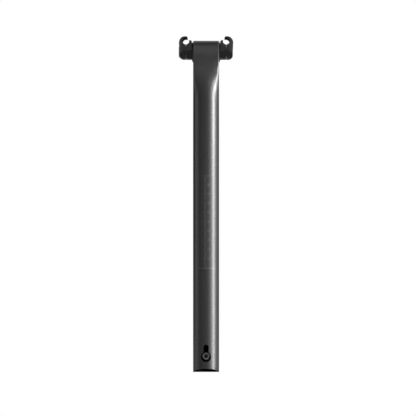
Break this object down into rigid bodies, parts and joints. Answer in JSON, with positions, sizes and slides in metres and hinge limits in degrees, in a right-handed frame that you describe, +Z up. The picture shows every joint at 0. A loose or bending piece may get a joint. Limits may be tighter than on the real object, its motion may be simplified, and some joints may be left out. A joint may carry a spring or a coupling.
{
  "type": "bicycle seatpost",
  "caption": "Split carbon leaf-spring bicycle seatpost: round shaft of back-to-back leaves, flat upper springs with rolled eyes, and a tilting clamp with hooked jaws for saddle rails.",
  "frame": {"origin": "on the axis of the round shaft, at the level of its lower end", "axes": "+Z up along the shaft, -Y to the front (the side with the keyhole window), +X to the right-hand rail seen from the front"},
  "size_m": [0.057, 0.0489, 0.3513],
  "materials": {
    "carbon": "satin black carbon fibre laminate",
    "black_alloy": "black anodised, fine blasted",
    "black_steel": "black oxide",
    "bearing_plastic": "plain moulded, matt"
  },
  "bodies": {
    "front_leaf": {"front_leaf": "carbon", "front_eye_bush": "bearing_plastic"},
    "rear_leaf": {"rear_leaf": "carbon", "rear_eye_bush": "bearing_plastic", "lock_bolt": "black_steel", "lock_washer": "black_steel", "lock_nut": "black_alloy"},
    "head": {"front_axle": "black_alloy", "rear_axle": "black_alloy", "left_cradle": "black_alloy", "right_cradle": "black_alloy", "front_left_side_washer": "bearing_plastic", "front_right_side_washer": "bearing_plastic", "rear_left_side_washer": "bearing_plastic", "rear_right_side_washer": "bearing_plastic"},
    "left_jaw": {"left_jaw": "black_alloy", "front_clamp_bolt": "black_steel", "rear_clamp_bolt": "black_steel", "front_bolt_washer": "black_steel", "rear_bolt_washer": "black_steel"},
    "right_jaw": {"right_jaw": "black_alloy", "front_sleeve_nut": "black_alloy", "rear_sleeve_nut": "black_alloy"}
  },
  "joints": [
    {"name": "head_tilt", "type": "hinge", "parent": "front_leaf", "child": "head", "pos_m": [0, 0, 0.3357], "axis": [1, 0, 0], "range_deg": [-7, 7]},
    {"name": "leaf_slide", "type": "slide", "parent": "front_leaf", "child": "rear_leaf", "axis": [0, 0, 1], "range_m": [-0.003, 0.003]},
    {"name": "left_jaw_slide", "type": "slide", "parent": "head", "child": "left_jaw", "axis": [-1, 0, 0], "range_m": [0, 0.006]},
    {"name": "right_jaw_slide", "type": "slide", "parent": "head", "child": "right_jaw", "axis": [1, 0, 0], "range_m": [0, 0.006]}
  ],
  "couplings": [
    {"joint": "leaf_slide", "follows": "head_tilt", "m_per_rad": 0.024}
  ]
}
